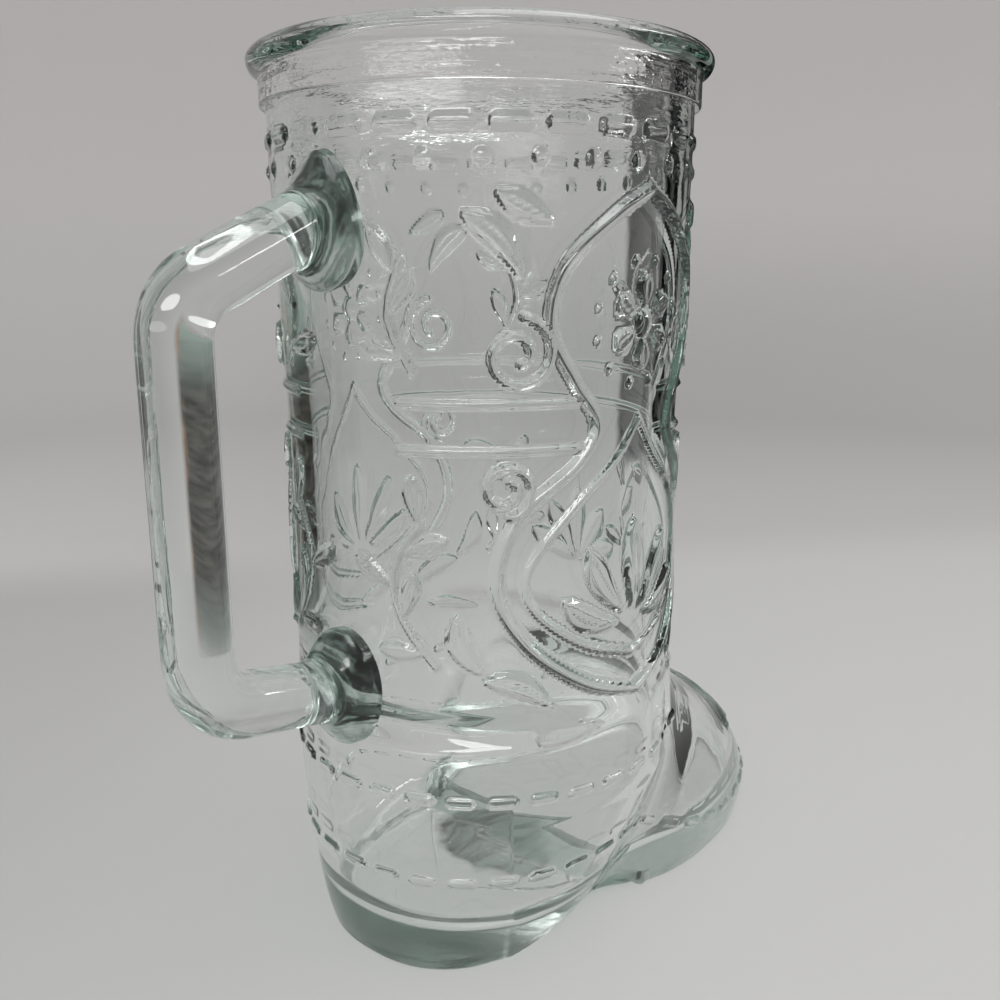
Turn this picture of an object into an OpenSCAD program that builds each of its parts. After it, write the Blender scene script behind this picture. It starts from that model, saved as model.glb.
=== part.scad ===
/* [Leg] */
// Height of the whole boot, from the floor to the lip
boot_h = 161; // [150:1:180]
// Outer radius of the leg just under the rim band
leg_top_r = 37.4; // [35:0.2:42]
// Outer radius of the leg at its narrowest place
leg_mid_r = 35.9; // [34:0.1:38]
// Height of the leg's narrowest place
leg_mid_z = 82; // [74:1:90]
// Height at which the leg stands on the foot
ankle_z = 55; // [52:0.5:60]
// Thickness of the glass wall
wall = 4; // [3:0.25:5]

/* [Rim] */
// Height of the round bead at the lip
bead_h = 4.2; // [3:0.1:5]
// How far the bead stands out from the band below it
bead_out = 1.9; // [1:0.1:2.5]
// Height of the plain band below the bead
band_h = 5.2; // [4:0.1:7]
// How far the band stands out from the leg
band_out = 1.1; // [0.6:0.1:2]

/* [Foot] */
// From the leg's axis back to the heel's rear edge on the floor
heel_back = 33; // [30:0.5:36]
// Length of the heel's footprint
heel_len = 48; // [44:0.5:52]
// Width of the heel's footprint
heel_w = 45; // [42:0.5:50]
// Outer radius that the heel has swollen to where the leg begins
heel_top_r = 36.6; // [35:0.1:39]
// Height over which the heel swells out to the leg
heel_swell_h = 32; // [28:0.5:36]
// From the leg's axis forward to the waist of the sole
waist_x = 5; // [3:0.5:7]
// Width of the sole at its waist
waist_w = 40.4; // [37:0.2:43]
// From the leg's axis forward to the widest place of the forefoot
ball_x = 38; // [34:0.5:42]
// Width of the forefoot on the floor
ball_w = 66; // [62:0.5:70]
// From the leg's axis forward to the toe's tip on the floor
toe_reach = 80; // [74:0.5:86]
// Height of the toe's tip
toe_h = 10; // [8:0.5:12]
// From the leg's axis forward to the foot of the instep
instep_x = 36; // [34.5:0.5:38]
// Height of the foot's top at the instep
instep_h = 46; // [42:0.5:48]
// How far the forefoot's side swells out above the floor
foot_swell = 1.5; // [0.8:0.1:2]
// Height over which the forefoot's side swells out
foot_swell_h = 8; // [6:0.5:10]
// Radius that softens the crease between heel and forefoot
crease_r = 3.5; // [2:0.25:5]

/* [Sole] */
// Height of the heel and sole slabs
sole_h = 3.5; // [2.5:0.25:4.5]
// Height of the glass floor inside the boot
floor_h = 7; // [6:0.25:9]
// How far the shank under the waist is raised off the floor
shank_rise = 1; // [0.5:0.25:1.5]
// Length of the shank, along the boot
shank_len = 11; // [8:0.5:14]
// Height of the square edge at the bottom of the slabs
tread_h = 0.8; // [0.5:0.1:1.2]

/* [Handle] */
// Diameter of the round handle bar
grip_d = 10.8; // [9:0.2:13]
// From the leg's axis back to the middle of the grip
grip_reach = 65.5; // [62:0.5:70]
// Height at which the grip's straight part ends below
grip_low_z = 69; // [66:0.5:74]
// From the lip down to where the grip's straight part ends above
grip_top_drop = 45.5; // [42:0.5:51]
// Bend radius at the upper end, to the middle of the bar
upper_bend_r = 9; // [8:0.25:11]
// Bend radius at the lower end, to the middle of the bar
lower_bend_r = 10; // [8:0.25:11]
// Slope at which the upper arm rises to the leg
upper_slope_angle = 24; // [18:1:30]
// Slope at which the lower arm falls to the leg
lower_slope_angle = 12; // [6:1:18]
// Width of the pads that hold the handle on the leg
pad_w = 15; // [13:0.5:18]
// Height of the pads
pad_h = 21; // [18:0.5:24]
// Depth of the pads, from the wall to where the round arm begins
pad_deep = 7; // [5:0.25:9]

/* [Stitching] */
// Distance from the band down to the middle of the row of stitches
rim_stitch_drop = 5.6; // [5:0.1:7]
// Distance from the band down to the middle of the row of dots
rim_dot_drop = 10.4; // [10:0.2:12]
// Length of one stitch
stitch_len = 6.6; // [5:0.2:7]
// Width of one stitch
stitch_w = 2.4; // [1.8:0.1:2.8]
// Height by which a stitch stands out
stitch_out = 0.8; // [0.5:0.1:1.1]
// Diameter of one dot
dot_d = 2.4; // [1.8:0.1:3]
// Number of stitches round the rim
rim_stitch_n = 27; // [22:1:30]
// Height of the row of stitches round the heel
vamp_stitch_z = 37; // [35:0.5:40]
// Height of the row of stitches above the sole
welt_stitch_z = 21; // [16:0.5:22]
// Height of the row of stitches above the forefoot's sole
welt_front_z = 8.5; // [8:0.5:13]
// Length of one stitch on the foot
foot_stitch_len = 5.2; // [4:0.2:6]
// Width of one stitch on the foot
foot_stitch_w = 2; // [1.6:0.1:2.4]

/* [Tooling] */
// Width of the wide raised lines
line_w = 2.4; // [1.6:0.1:3]
// Height by which the wide raised lines stand out
line_out = 1.3; // [0.8:0.1:1.6]
// Width of the fine raised lines
fine_w = 1.5; // [1:0.1:2]
// Height by which the fine raised lines stand out
fine_out = 0.9; // [0.5:0.1:1.2]
// Distance between a wide line and the fine line inside it
line_gap = 4.2; // [3.6:0.1:5]
// Height of the flame figure's lower tip
flame_low_z = 53; // [51:0.5:56]
// From the lip down to the flame figure's upper tip
flame_top_drop = 23.5; // [22:0.5:29]
// Half of the flame figure's width, at its wide lower part
flame_half_w = 26; // [22:0.5:28]
// Diameter of the rosettes
rosette_d = 15; // [12:0.5:16]
// Length of the long leaves
leaf_len = 17; // [14:0.5:18]
// Width of the long leaves
leaf_w = 5.6; // [4.5:0.1:6.4]
// Height by which leaves and petals stand out
leaf_out = 1.2; // [0.8:0.1:1.5]
// Outer radius of the scroll curls
curl_r = 6; // [5:0.25:6.5]
// Distance from the flame figure's middle to the middle of a curl
curl_side = 23; // [21:0.5:25]
// Width of the side strap
strap_w = 7.5; // [6:0.25:9]
// Length of the small leaves on the branches
twig_leaf_len = 8.5; // [6:0.5:10]
// Width of the small leaves on the branches
twig_leaf_w = 3.6; // [2.6:0.1:4.4]
// Height of the stem of the leaves on the front of the leg
front_leaf_z = 61; // [58:0.5:70]
// From the toe's tip back to the middle of the toe cap's line
cap_back = 19; // [16:0.5:22]

/* [Hidden] */

// One overrun serves every cut
over = wall / 4;
around = 64;
glass = [0.72, 0.8, 0.77, 0.6];
relief_glass = [0.6, 0.72, 0.68, 0.8];

band_top_z = boot_h - bead_h;
leg_top_z = band_top_z - band_h;
band_r = leg_top_r + band_out;
bead_r = band_r + bead_out;
bore_top_r = leg_top_r - wall;
grip_r = grip_d / 2;
pad_plane_x = leg_top_r + pad_deep;
grip_high_z = boot_h - grip_top_drop;
flame_high_z = boot_h - flame_top_drop;
cap_x = toe_reach - cap_back;

// How the outline of the foot runs between its named sizes
heel_round_share = 2.3;
heel_rise_share = 2;
heel_flare_share = 1.2;
ball_ease_share = 2.6;
toe_round_share = 2.1;
vamp_side_share = 2.3;
vamp_top_share = 2.6;
vamp_slope_share = 0.68;
kick_share = 0.14;
kick_power_share = 6;
foot_level_shares = [0, 0.05, 0.11, 0.19, 0.29, 0.41, 0.52, 0.62, 0.71, 0.79, 0.87, 0.94, 1];
cavity_level_shares = [0, 0.04, 0.12, 0.24, 0.38, 0.5, 0.61, 0.72, 0.82, 0.91, 1];

function ease(t) = let (u = min(max(t, 0), 1)) u * u * (3 - 2 * u);
function mix(a, b, t) = a + (b - a) * t;
function unit(v) = v / norm(v);
function bulge(t, p) = let (u = min(max(t, 0), 1)) pow(1 - pow(1 - u, p), 1 / p);

// Outer radius of the leg: narrowest at leg_mid_z, wider to the rim and to the heel
function leg_r(z) = z > leg_mid_z
    ? mix(leg_mid_r, leg_top_r, ease((z - leg_mid_z) / (leg_top_z - leg_mid_z)))
    : mix(leg_mid_r, heel_top_r, ease((leg_mid_z - z) / (leg_mid_z - heel_swell_h)));

// The heel's section is a rounded oval on the floor and a circle where the leg begins
function in_heel(x, y, z) =
    z >= heel_swell_h ? norm([x, y]) < leg_r(z)
    : let (rise = bulge(z / heel_swell_h, heel_rise_share),
           flare = bulge(z / heel_swell_h, heel_flare_share),
           long = mix(heel_len / 2, heel_top_r, rise),
           wide = mix(heel_w / 2, heel_top_r, flare),
           mid = mix(heel_len / 2 - heel_back, 0, rise),
           n = mix(heel_round_share, 2, flare))
      pow(abs(x - mid) / long, n) + pow(abs(y) / wide, n) < 1;

// Half width of the forefoot, and the height of its top
function foot_half(x, z) =
    let (swell = foot_swell * (1 - pow(1 - min(z / foot_swell_h, 1), 2)),
         back = (x - waist_x) / (ball_x - waist_x),
         front = (x - ball_x) / (toe_reach + swell - ball_x))
    front >= 1 ? 0
    : x < waist_x ? waist_w / 2
    : x < ball_x ? mix(waist_w / 2, ball_w / 2 + swell, 1 - pow(1 - back, ball_ease_share))
    : (ball_w / 2 + swell) * pow(1 - pow(front, toe_round_share), 1 / toe_round_share);
function foot_top(x) =
    let (v = max(toe_reach + foot_swell - x, 0) / (toe_reach + foot_swell - instep_x))
    toe_h + (instep_h - toe_h)
        * ((1 - kick_share) * pow(v, vamp_slope_share) + kick_share * pow(v, kick_power_share));
function in_foot(x, y, z) =
    x > -heel_back / 2 && z < foot_top(x)
    && abs(y) < foot_half(x, z) * pow(1 - pow(z / foot_top(x), vamp_top_share), 1 / vamp_side_share);

// Middle of the section at height z, from which its radius is measured
function mid_x(z) = waist_x * 2 * (1 - ease((z - instep_h) / (ankle_z - instep_h)));

// Distance from the section's middle to the edge, found by halving. Heel and forefoot meet in a
// rounded crease, which runs out where the leg begins
function reach_of(which, a, z, c, low, high, step = 14) =
    let (m = (low + high) / 2, x = c + m * cos(a), y = m * sin(a))
    step == 0 ? m
    : (which == 0 ? in_heel(x, y, z) : in_foot(x, y, z))
        ? reach_of(which, a, z, c, m, high, step - 1)
        : reach_of(which, a, z, c, low, m, step - 1);
function boot_r(a, z, c) =
    let (far = toe_reach + heel_back, heel = reach_of(0, a, z, c, 0, far))
    z >= ankle_z ? heel
    : let (foot = reach_of(1, a, z, c, 0, far),
           soft = 2 * crease_r * (1 - ease((z - instep_h) / (ankle_z - instep_h))))
      max(heel, foot) + pow(max(soft - abs(heel - foot), 0), 2) / (4 * soft);
function section(z) = let (c = mid_x(z))
    [for (i = [0 : around - 1]) let (a = i * 360 / around, r = boot_r(a, z, c))
        [c + r * cos(a), r * sin(a), z]];

// The hollow keeps the wall's thickness, measured level and upright, and has a rounded floor
function cavity(z) = let (c = mid_x(z), foot_round = max(0, floor_h + wall / 2 - z))
    [for (i = [0 : around - 1])
        let (a = i * 360 / around,
             r = min(boot_r(a, z, c) - wall, boot_r(a, z + wall, c)) - foot_round)
        [c + r * cos(a), r * sin(a), z]];

// Skin over a stack of rings with as many points each, closed at both ends
module skin(rings) {
    n = len(rings[0]);
    last = (len(rings) - 1) * n;
    points = [for (ring = rings) for (p = ring) p];
    sides = [for (k = [0 : len(rings) - 2]) for (i = [0 : n - 1]) let (j = (i + 1) % n, b = k * n)
        each [[b + i, b + n + i, b + j], [b + j, b + n + i, b + n + j]]];
    polyhedron(points, concat([[for (i = [0 : n - 1]) i]], sides,
        [[for (i = [n - 1 : -1 : 0]) last + i]]));
}

// A place on the leg's skin: s is the way round from the azimuth turn, on the leg's mean radius
function on_leg(s, z, turn) = let (a = turn + s / leg_mid_r * 180 / PI, r = leg_r(z))
    [[r * cos(a), r * sin(a), z], [cos(a), sin(a), 0]];

// A place on the foot's skin at azimuth a from the section's middle, with its outward direction
function foot_point(a, z) = let (c = mid_x(z), r = boot_r(a, z, c)) [c + r * cos(a), r * sin(a), z];
function on_foot(a, z) =
    let (p = foot_point(a, z), da = foot_point(a + 2, z) - foot_point(a - 2, z),
         dz = foot_point(a, z + over) - foot_point(a, z - over))
    [p, unit(cross(da, dz))];

// A place on top of the forefoot
function vamp_point(x, y) =
    let (w = foot_half(x, foot_swell_h), h = foot_top(x))
    [x, y, h * pow(max(1 - pow(abs(y) / w, vamp_side_share), 0), 1 / vamp_top_share)];
function on_vamp(x, y) =
    let (p = vamp_point(x, y), dx = vamp_point(x + over, y) - vamp_point(x - over, y),
         dy = vamp_point(x, y + over) - vamp_point(x, y - over))
    [p, unit(cross(dx, dy))];

// A raised line with a rounded back, along a path of places on the skin
line_back_shares = [[0.5, 0], [0.34, 0.72], [0, 1], [-0.34, 0.72], [-0.5, 0]];
line_end_share = 0.45;
function across(path, i) =
    let (n = len(path) - 1,
         along = path[min(i + 1, n)][0] - path[max(i - 1, 0)][0])
    unit(cross(path[i][1], along));
module raised_line(path, wide, out) {
    n = len(path) - 1;
    skin([for (i = [0 : n])
        let (b = across(path, i), end = i == 0 || i == n ? line_end_share : 1)
        [for (q = line_back_shares)
            path[i][0] + b * q[0] * wide * end + path[i][1] * q[1] * out * end]]);
}

// One stitch: a short raised line between two places
stitch_shares = [0, 0.15, 0.85, 1];
function between(a, b, t) = [mix(a[0], b[0], t), unit(mix(a[1], b[1], t))];
module stitch(a, b, wide, out) {
    raised_line([for (t = stitch_shares) between(a, b, t)], wide, out);
}

// A low dome with the outline [[s, z], ...] about the middle (s0, z0) on the leg
dome_shares = [[1, 0], [0.8, 0.62], [0.42, 0.93]];
module dome(outline, s0, z0, out, turn) {
    n = len(outline);
    rings = [for (q = dome_shares) for (p = outline)
        let (o = on_leg(s0 + (p[0] - s0) * q[0], z0 + (p[1] - z0) * q[0], turn)) o[0] + o[1] * q[1] * out];
    top = on_leg(s0, z0, turn);
    points = concat(rings, [top[0] + top[1] * out, top[0]]);
    rows = len(dome_shares);
    polyhedron(points, concat(
        [for (k = [0 : rows - 2]) for (i = [0 : n - 1]) let (j = (i + 1) % n, b = k * n)
            each [[b + i, b + n + i, b + j], [b + j, b + n + i, b + n + j]]],
        [for (i = [0 : n - 1]) [(rows - 1) * n + i, rows * n, (rows - 1) * n + (i + 1) % n]],
        [for (i = [0 : n - 1]) [i, (i + 1) % n, rows * n + 1]]));
}
disc_sides = 8;
function disc(s0, z0, r) = [for (i = [0 : disc_sides - 1]) let (a = i * 360 / disc_sides)
    [s0 + r * cos(a), z0 + r * sin(a)]];

// A pointed leaf from its stem at (s, z), leaning by lean from upright, bent sideways by bend
function leaf_spot(s, z, long, lean, bend, u, v) =
    let (x = v + bend * u * (1 - u) * 4, y = u * long)
    [s + x * cos(lean) + y * sin(lean), z - x * sin(lean) + y * cos(lean)];
leaf_half_shares = [[0, 0.1], [0.18, 0.78], [0.48, 1], [0.8, 0.56]];
leaf_mid_share = 0.45;
function leaf_outline(s, z, long, wide, lean, bend) = concat(
    [for (q = leaf_half_shares) leaf_spot(s, z, long, lean, bend, q[0], wide / 2 * q[1])],
    [leaf_spot(s, z, long, lean, bend, 1, 0)],
    [for (k = [len(leaf_half_shares) - 1 : -1 : 0]) let (q = leaf_half_shares[k])
        leaf_spot(s, z, long, lean, bend, q[0], -wide / 2 * q[1])]);
module leaf(s, z, long, wide, lean, bend, turn) {
    m = leaf_spot(s, z, long, lean, bend, leaf_mid_share, 0);
    dome(leaf_outline(s, z, long, wide, lean, bend), m[0], m[1], leaf_out, turn);
}

module rim_bead() color(glass)
    rotate_extrude($fn = 96) {
        translate([bore_top_r + bead_h / 2, band_top_z])
            square([bead_r - bore_top_r - bead_h, bead_h]);
        for (r = [bore_top_r + bead_h / 2, bead_r - bead_h / 2])
            translate([r, band_top_z + bead_h / 2]) circle(d = bead_h, $fn = 48);
    }

module rim_band() color(glass)
    rotate_extrude($fn = 96)
        polygon([[bore_top_r, leg_top_z], [band_r - band_out / 3, leg_top_z],
            [band_r, leg_top_z + band_out / 3], [band_r, band_top_z], [bore_top_r, band_top_z]]);

leg_steps = 24;
module leg() color(glass) {
    heights = [for (k = [0 : leg_steps]) mix(ankle_z, leg_top_z, k / leg_steps)];
    rotate_extrude($fn = 96)
        polygon(concat([for (z = heights) [leg_r(z), z]],
            [for (k = [leg_steps : -1 : 0]) [leg_r(heights[k]) - wall, heights[k]]]));
}

// The foot's skin runs up its outside, over the top, and down the inside to the floor
module foot() color(glass)
    skin(concat([for (q = foot_level_shares) section(mix(sole_h, ankle_z, q))],
        [for (k = [len(cavity_level_shares) - 1 : -1 : 0])
            cavity(mix(floor_h, ankle_z, cavity_level_shares[k]))]));

// The slabs under the foot are cut from one footprint, split along the boot
module slab(x0, x1, low) {
    intersection() {
        union() {
            linear_extrude(tread_h) polygon([for (p = section(0)) [p[0], p[1]]]);
            skin([section(tread_h), section((tread_h + sole_h) / 2), section(sole_h)]);
        }
        translate([x0, -ball_w, low]) cube([x1 - x0, 2 * ball_w, sole_h - low]);
    }
}
shank_back = waist_x;
shank_front = waist_x + shank_len;
module heel() color(glass) slab(-heel_back * 2, shank_back, 0);
module shank() color(glass) slab(shank_back, shank_front, shank_rise);
module fore_sole() color(glass) slab(shank_front, toe_reach * 2, 0);

module grip() color(glass)
    translate([-grip_reach, 0, grip_low_z])
        cylinder(r = grip_r, h = grip_high_z - grip_low_z, $fn = 64);

// An arm bends from the grip and runs to the pad's plane, up or down by slope
arm_sides = 32;
arm_steps = 9;
module arm(bend_r, bend_z, slope, up) {
    turn = 90 - slope;
    function spot(t, a) = let (r = bend_r + grip_r * cos(a)) [-r * cos(t), -grip_r * sin(a), r * sin(t)];
    translate([-grip_reach + bend_r, 0, bend_z]) mirror([0, 0, up ? 0 : 1])
        skin(concat(
            [for (k = [0 : arm_steps]) [for (i = [0 : arm_sides - 1])
                spot(turn * k / arm_steps, i * 360 / arm_sides)]],
            [[for (i = [0 : arm_sides - 1])
                let (p = spot(turn, i * 360 / arm_sides), x = grip_reach - bend_r - pad_plane_x)
                [x, p[1], p[2] + (x - p[0]) * tan(slope)]]]));
}
module upper_arm() color(glass) arm(upper_bend_r, grip_high_z, upper_slope_angle, true);
module lower_arm() color(glass) arm(lower_bend_r, grip_low_z, lower_slope_angle, false);

// Height of an arm's middle where it meets the plane at x
function arm_z(bend_r, bend_z, slope, up, x) =
    let (turn = 90 - slope, side = up ? 1 : -1)
    bend_z + side * (bend_r * sin(turn) + (grip_reach - bend_r + bend_r * cos(turn) - x) * tan(slope));

// A pad spreads from the round arm to an oval with a rolled edge, whose back lies on the wall
pad_back_shares = [0.05, 0.4, 0.72];
pad_profile_shares = [[1, 0], [1, 0.22], [0.93, 0.4], [0.72, 0.5], [0.42, 0.6], [0.2, 0.74], [0.06, 0.9],
    [0, 1]];
upper_pad_drop_share = 0.05;
module pad(z_wall, z_arm, slope) {
    function ring(half_y, half_z, z0, out) = [for (i = [0 : arm_sides - 1])
        let (a = -i * 360 / arm_sides, y = half_y * cos(a), z = z0 + half_z * sin(a))
        [-mix(sqrt(pow(leg_r(z), 2) - y * y), pad_plane_x, out), y, z]];
    skin(concat([for (q = pad_back_shares) ring(q * pad_w / 2, q * pad_h / 2, z_wall, 0)],
        [for (q = pad_profile_shares) ring(mix(grip_r, pad_w / 2, q[0]),
            mix(grip_r / cos(slope), pad_h / 2, q[0]), mix(z_wall, z_arm, q[1]), q[1])]));
}
module upper_pad() color(glass)
    pad(arm_z(upper_bend_r, grip_high_z, upper_slope_angle, true, leg_top_r) - upper_pad_drop_share * pad_h,
        arm_z(upper_bend_r, grip_high_z, upper_slope_angle, true, pad_plane_x), upper_slope_angle);
module lower_pad() color(glass)
    pad(arm_z(lower_bend_r, grip_low_z, lower_slope_angle, false, leg_top_r),
        arm_z(lower_bend_r, grip_low_z, lower_slope_angle, false, pad_plane_x), lower_slope_angle);

module rim_stitches() color(relief_glass) {
    z = leg_top_z - rim_stitch_drop;
    for (i = [0 : rim_stitch_n - 1])
        let (a = i * 360 / rim_stitch_n)
            stitch(on_leg(-stitch_len / 2, z, a), on_leg(stitch_len / 2, z, a), stitch_w, stitch_out);
}

module rim_dots() color(relief_glass) {
    z = leg_top_z - rim_dot_drop;
    for (i = [0 : rim_stitch_n - 1])
        dome(disc(0, z, dot_d / 2), 0, z, stitch_out, (i + 0.5) * 360 / rim_stitch_n);
}

// A row of stitches stands at even steps along the skin, which short chords measure from the
// back of the heel. The welt's row drops over the waist to the forefoot
back_angle = 180;
vamp_row_angle = 115;
welt_row_angle = 158;
welt_drop_start_angle = 74;
welt_drop_end_angle = 136;
chord_angle = 3;
function welt_z(a) = mix(welt_stitch_z, welt_front_z,
    ease((a - welt_drop_start_angle) / (welt_drop_end_angle - welt_drop_start_angle)));
function row_z(a, welt) = welt ? welt_z(a) : vamp_stitch_z;
function row_point(a, welt) = foot_point(back_angle + a, row_z(a, welt));
function row_run(last, welt) = [for (a = 0, run = 0; a <= last;
    run = run + norm(row_point(a + chord_angle, welt) - row_point(a, welt)), a = a + chord_angle)
    [run, a]];
module stitch_row(last, welt) {
    runs = row_run(last, welt);
    step = foot_stitch_len + foot_stitch_w;
    for (side = [-1, 1]) for (i = [side < 0 ? 1 : 0 : floor(runs[len(runs) - 1][0] / step)]) {
        turns = [for (end = [-1, 1]) let (s = i * step + end * foot_stitch_len / 2)
            sign(s) * lookup(abs(s), runs)];
        places = [for (a = side > 0 ? turns : [-turns[1], -turns[0]])
            on_foot(back_angle + a, row_z(abs(a), welt))];
        stitch(places[0], places[1], foot_stitch_w, stitch_out);
    }
}
module vamp_stitches() color(relief_glass) stitch_row(vamp_row_angle, false);
module welt_stitches() color(relief_glass) stitch_row(welt_row_angle, true);

// The toe cap's line crosses the forefoot in a bow, with short bars in front of it
cap_bow = ball_w / 10;
cap_reach_share = 0.93;
cap_steps = 12;
bar_steps = 5;
side_bar_shares = [0.62, 0.86];
mid_bar_end_share = 0.72;
module toe_cap_line() color(relief_glass)
    raised_line([for (k = [-cap_steps : cap_steps]) let (t = k / cap_steps)
        on_vamp(cap_x + cap_bow * (0.5 - abs(t)), t * cap_reach_share * foot_half(cap_x, 0))],
        line_w, fine_out);
module toe_bars() color(relief_glass) {
    raised_line([for (k = [0 : bar_steps])
        on_vamp(mix(cap_x + cap_bow, mix(cap_x, toe_reach, mid_bar_end_share), k / bar_steps), 0)],
        fine_w, fine_out);
    for (side = [-1, 1]) for (i = [0, 1]) let (x = cap_x + i * line_gap)
        raised_line([for (k = [0 : bar_steps])
            on_vamp(x, side * foot_half(x, 0) * mix(side_bar_shares[0], side_bar_shares[1], k / bar_steps))],
            fine_w, fine_out);
}

// Tooling on the side of the leg: s runs round the leg from this azimuth, towards the toe
side_angle = -95;
curve_parts = 3;
function curve_spot(p, i, t) =
    let (n = len(p) - 1, a = p[max(i - 1, 0)], b = p[i], c = p[min(i + 1, n)], d = p[min(i + 2, n)])
    b + ((c - a) * t + (2 * a - 5 * b + 4 * c - d) * t * t + (3 * b - a - 3 * c + d) * t * t * t) / 2;
function curve(p) = concat([for (i = [0 : len(p) - 2]) for (k = [0 : curve_parts - 1])
    curve_spot(p, i, k / curve_parts)], [p[len(p) - 1]]);
function both_sides(p) = concat([for (q = p) [-q[0], q[1]]], [for (k = [len(p) - 2 : -1 : 0]) p[k]]);
module tooled_line(path, wide, out)
    raised_line([for (q = path) on_leg(q[0], q[1], side_angle)], wide, out);

// The flame is two lobes about a neck, as shares of its half width and height
flame_h = flame_high_z - flame_low_z;
flame_neck_share = 0.57;
flame_shares = [[0, 0], [0.42, 0.05], [0.82, 0.15], [1, 0.27], [0.86, 0.4], [0.48, 0.5],
    [0.36, flame_neck_share], [0.52, 0.65], [0.68, 0.75], [0.6, 0.86], [0.28, 0.95], [0, 1]];
function flame_spot(q) = [q[0] * flame_half_w, flame_low_z + q[1] * flame_h];
module flame() tooled_line(both_sides(curve([for (q = flame_shares) flame_spot(q)])), line_w, line_out);

// The fine line inside the lower lobe, as shares of its own half width and height
inner_low_z = flame_low_z + 1.7 * line_gap;
inner_high_z = flame_low_z + flame_neck_share * flame_h;
inner_half_w = flame_half_w - line_gap;
inner_shares = [[0, 0], [0.5, 0.09], [0.92, 0.27], [0.94, 0.45], [0.58, 0.68], [0.22, 0.85], [0, 1]];
module inner_flame()
    tooled_line(both_sides(curve([for (q = inner_shares)
        [q[0] * inner_half_w, mix(inner_low_z, inner_high_z, q[1])]])), fine_w, fine_out);

// A rosette of petals round a core, in a ring of dots
petals = 6;
rosette_dots = 12;
rosette_core_share = 0.3;
petal_w_share = 0.31;
rosette_z = flame_low_z + 0.755 * flame_h;
module rosette() {
    core = rosette_core_share * rosette_d / 2;
    long = rosette_d / 2 - core;
    for (i = [0 : petals - 1])
        let (lean = i * 360 / petals, s = core * sin(lean), z = rosette_z + core * cos(lean))
        leaf(s, z, long, petal_w_share * rosette_d, lean, 0, side_angle);
    dome(disc(0, rosette_z, core), 0, rosette_z, line_out, side_angle);
    for (i = [0 : rosette_dots - 1])
        let (r = rosette_d / 2 + dot_d, a = (i + 0.5) * 360 / rosette_dots, s = r * cos(a),
             z = rosette_z + r * sin(a))
        dome(disc(s, z, fine_w / 2), s, z, fine_out, side_angle);
}

// A strap of two fine lines runs from the flame's neck to the front, and back to near the handle
strap_z = flame_low_z + flame_neck_share * flame_h;
strap_start = 0.36 * flame_half_w + line_w;
strap_steps = 11;
strap_clear_share = 0.8;
module strap() {
    arc_per_degree = leg_mid_r * PI / 180;
    strap_back = strap_clear_share * pad_w - (back_angle + side_angle) * arc_per_degree;
    for (up = [-1, 1]) for (end = [strap_back, -side_angle * arc_per_degree])
        tooled_line([for (k = [0 : strap_steps])
            [mix(sign(end) * strap_start, end, k / strap_steps), strap_z + up * strap_w / 2]],
            fine_w, fine_out);
}

// Scroll curls stand beside the flame's neck, large ones above the strap and small ones below it
curl_turns = 1.4;
curl_start_angle = 100;
curl_steps = 22;
small_curl_share = 0.75;
module curls() {
    for (side = [-1, 1]) for (up = [-1, 1])
        let (r0 = up > 0 ? curl_r : small_curl_share * curl_r,
             x = curl_side + curl_r - r0, z = strap_z + up * (strap_w / 2 + fine_w + r0))
        tooled_line([for (k = [0 : curl_steps])
            let (t = k / curl_steps, r = mix(r0, fine_w, t), a = curl_start_angle + 360 * curl_turns * t)
            [side * (x + r * cos(a)), z + up * r * sin(a)]], fine_w, line_out);
}

// Each leaf: place as shares of the flame's half width and height, length and width as shares of
// the long leaf, lean from upright, and sideways bend as a share of the length
leaf_shares = [
    [0, 0.17, 1, 1, 0, 0], [0.06, 0.17, 0.92, 1, 34, 0.06], [0.1, 0.16, 0.8, 0.95, 66, 0.1],
    [0.62, 0.0, 0.8, 0.9, 62, -0.1], [0.5, -0.05, 0.75, 0.85, 96, -0.06],
    [1.05, 0.08, 0.7, 0.85, 28, 0.1],
    [0.86, 0.83, 0.8, 0.9, 40, -0.1], [0.66, 0.93, 0.6, 0.8, 62, 0],
];
module leaves() {
    for (side = [-1, 1]) for (q = leaf_shares) if (side == 1 || q[4] != 0)
        let (p = flame_spot(q))
        leaf(side * p[0], p[1], q[2] * leaf_len, q[3] * leaf_w, side * q[4], side * q[5] * leaf_len,
            side_angle);
}

// A branch is a bent stem with leaves by turns on its left and right, two before and two behind
// the flame
stem_shares = [
    [[1.38, 0.1], [1.6, 0.19], [1.66, 0.29], [1.48, 0.38]],
    [[1.5, 0.675], [1.64, 0.77], [1.55, 0.87]],
];
twig_lean = 48;
module branches() {
    for (side = [-1, 1]) for (stem = stem_shares) {
        path = curve([for (q = stem) let (p = flame_spot(q)) [side * p[0], p[1]]]);
        tooled_line(path, fine_w, fine_out);
        for (k = [1 : 2 : len(path) - 1])
            let (d = path[k] - path[k - 1],
                 lean = atan2(d[0], d[1]) + (k % 4 == 1 ? -twig_lean : twig_lean))
            leaf(path[k][0], path[k][1], twig_leaf_len, twig_leaf_w, lean, 0, side_angle);
    }
}

front_leaf_angles = [-64, -32, 0, 32, 64];
module front_leaves() color(relief_glass)
    for (lean = front_leaf_angles)
        leaf(0, front_leaf_z, leaf_len * (1 - abs(lean) / 360), leaf_w, lean, 0, 0);

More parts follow.
